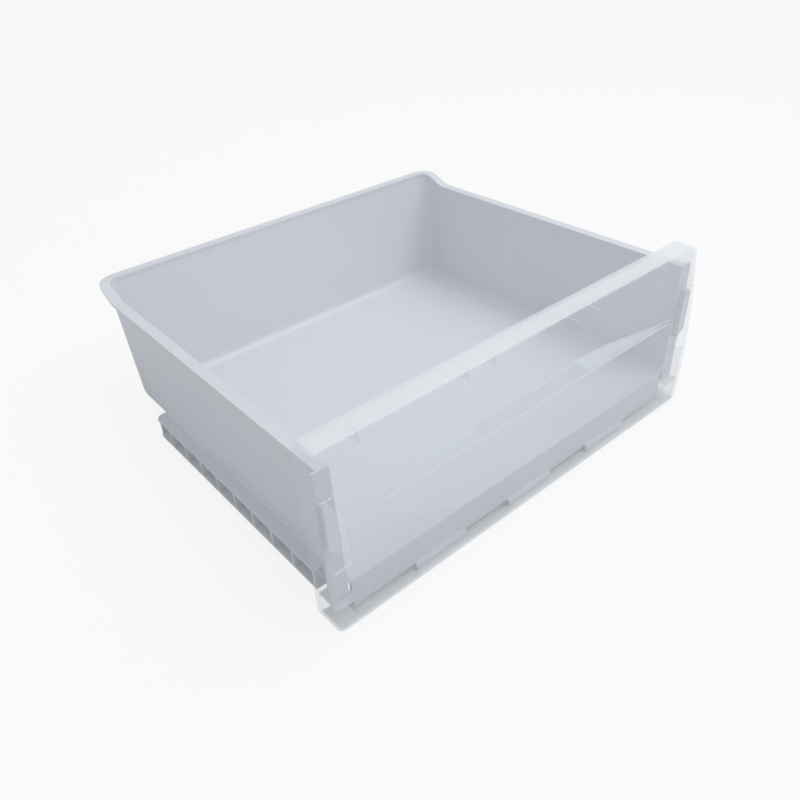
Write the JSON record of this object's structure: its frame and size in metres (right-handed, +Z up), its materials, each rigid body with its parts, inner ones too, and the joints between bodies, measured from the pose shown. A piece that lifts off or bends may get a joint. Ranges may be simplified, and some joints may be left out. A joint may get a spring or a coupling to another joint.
{
  "type": "freezer drawer",
  "caption": "Freezer drawer with a white moulded tub on ribbed side runners and a clear bowed front panel with a scooped grip",
  "frame": {"origin": "middle of the width and of the depth, at the foot of the front panel", "axes": "+X along the width, to the right as seen from the front; +Y from the front panel to the back wall; +Z up, square to the rims"},
  "size_m": [0.455, 0.3899, 0.176],
  "materials": {
    "white_plastic": "white moulded polystyrene, satin",
    "clear_plastic": "clear moulded polystyrene, polished"
  },
  "bodies": {
    "root": {"tub": "white_plastic", "front_panel": "clear_plastic"}
  },
  "joints": []
}
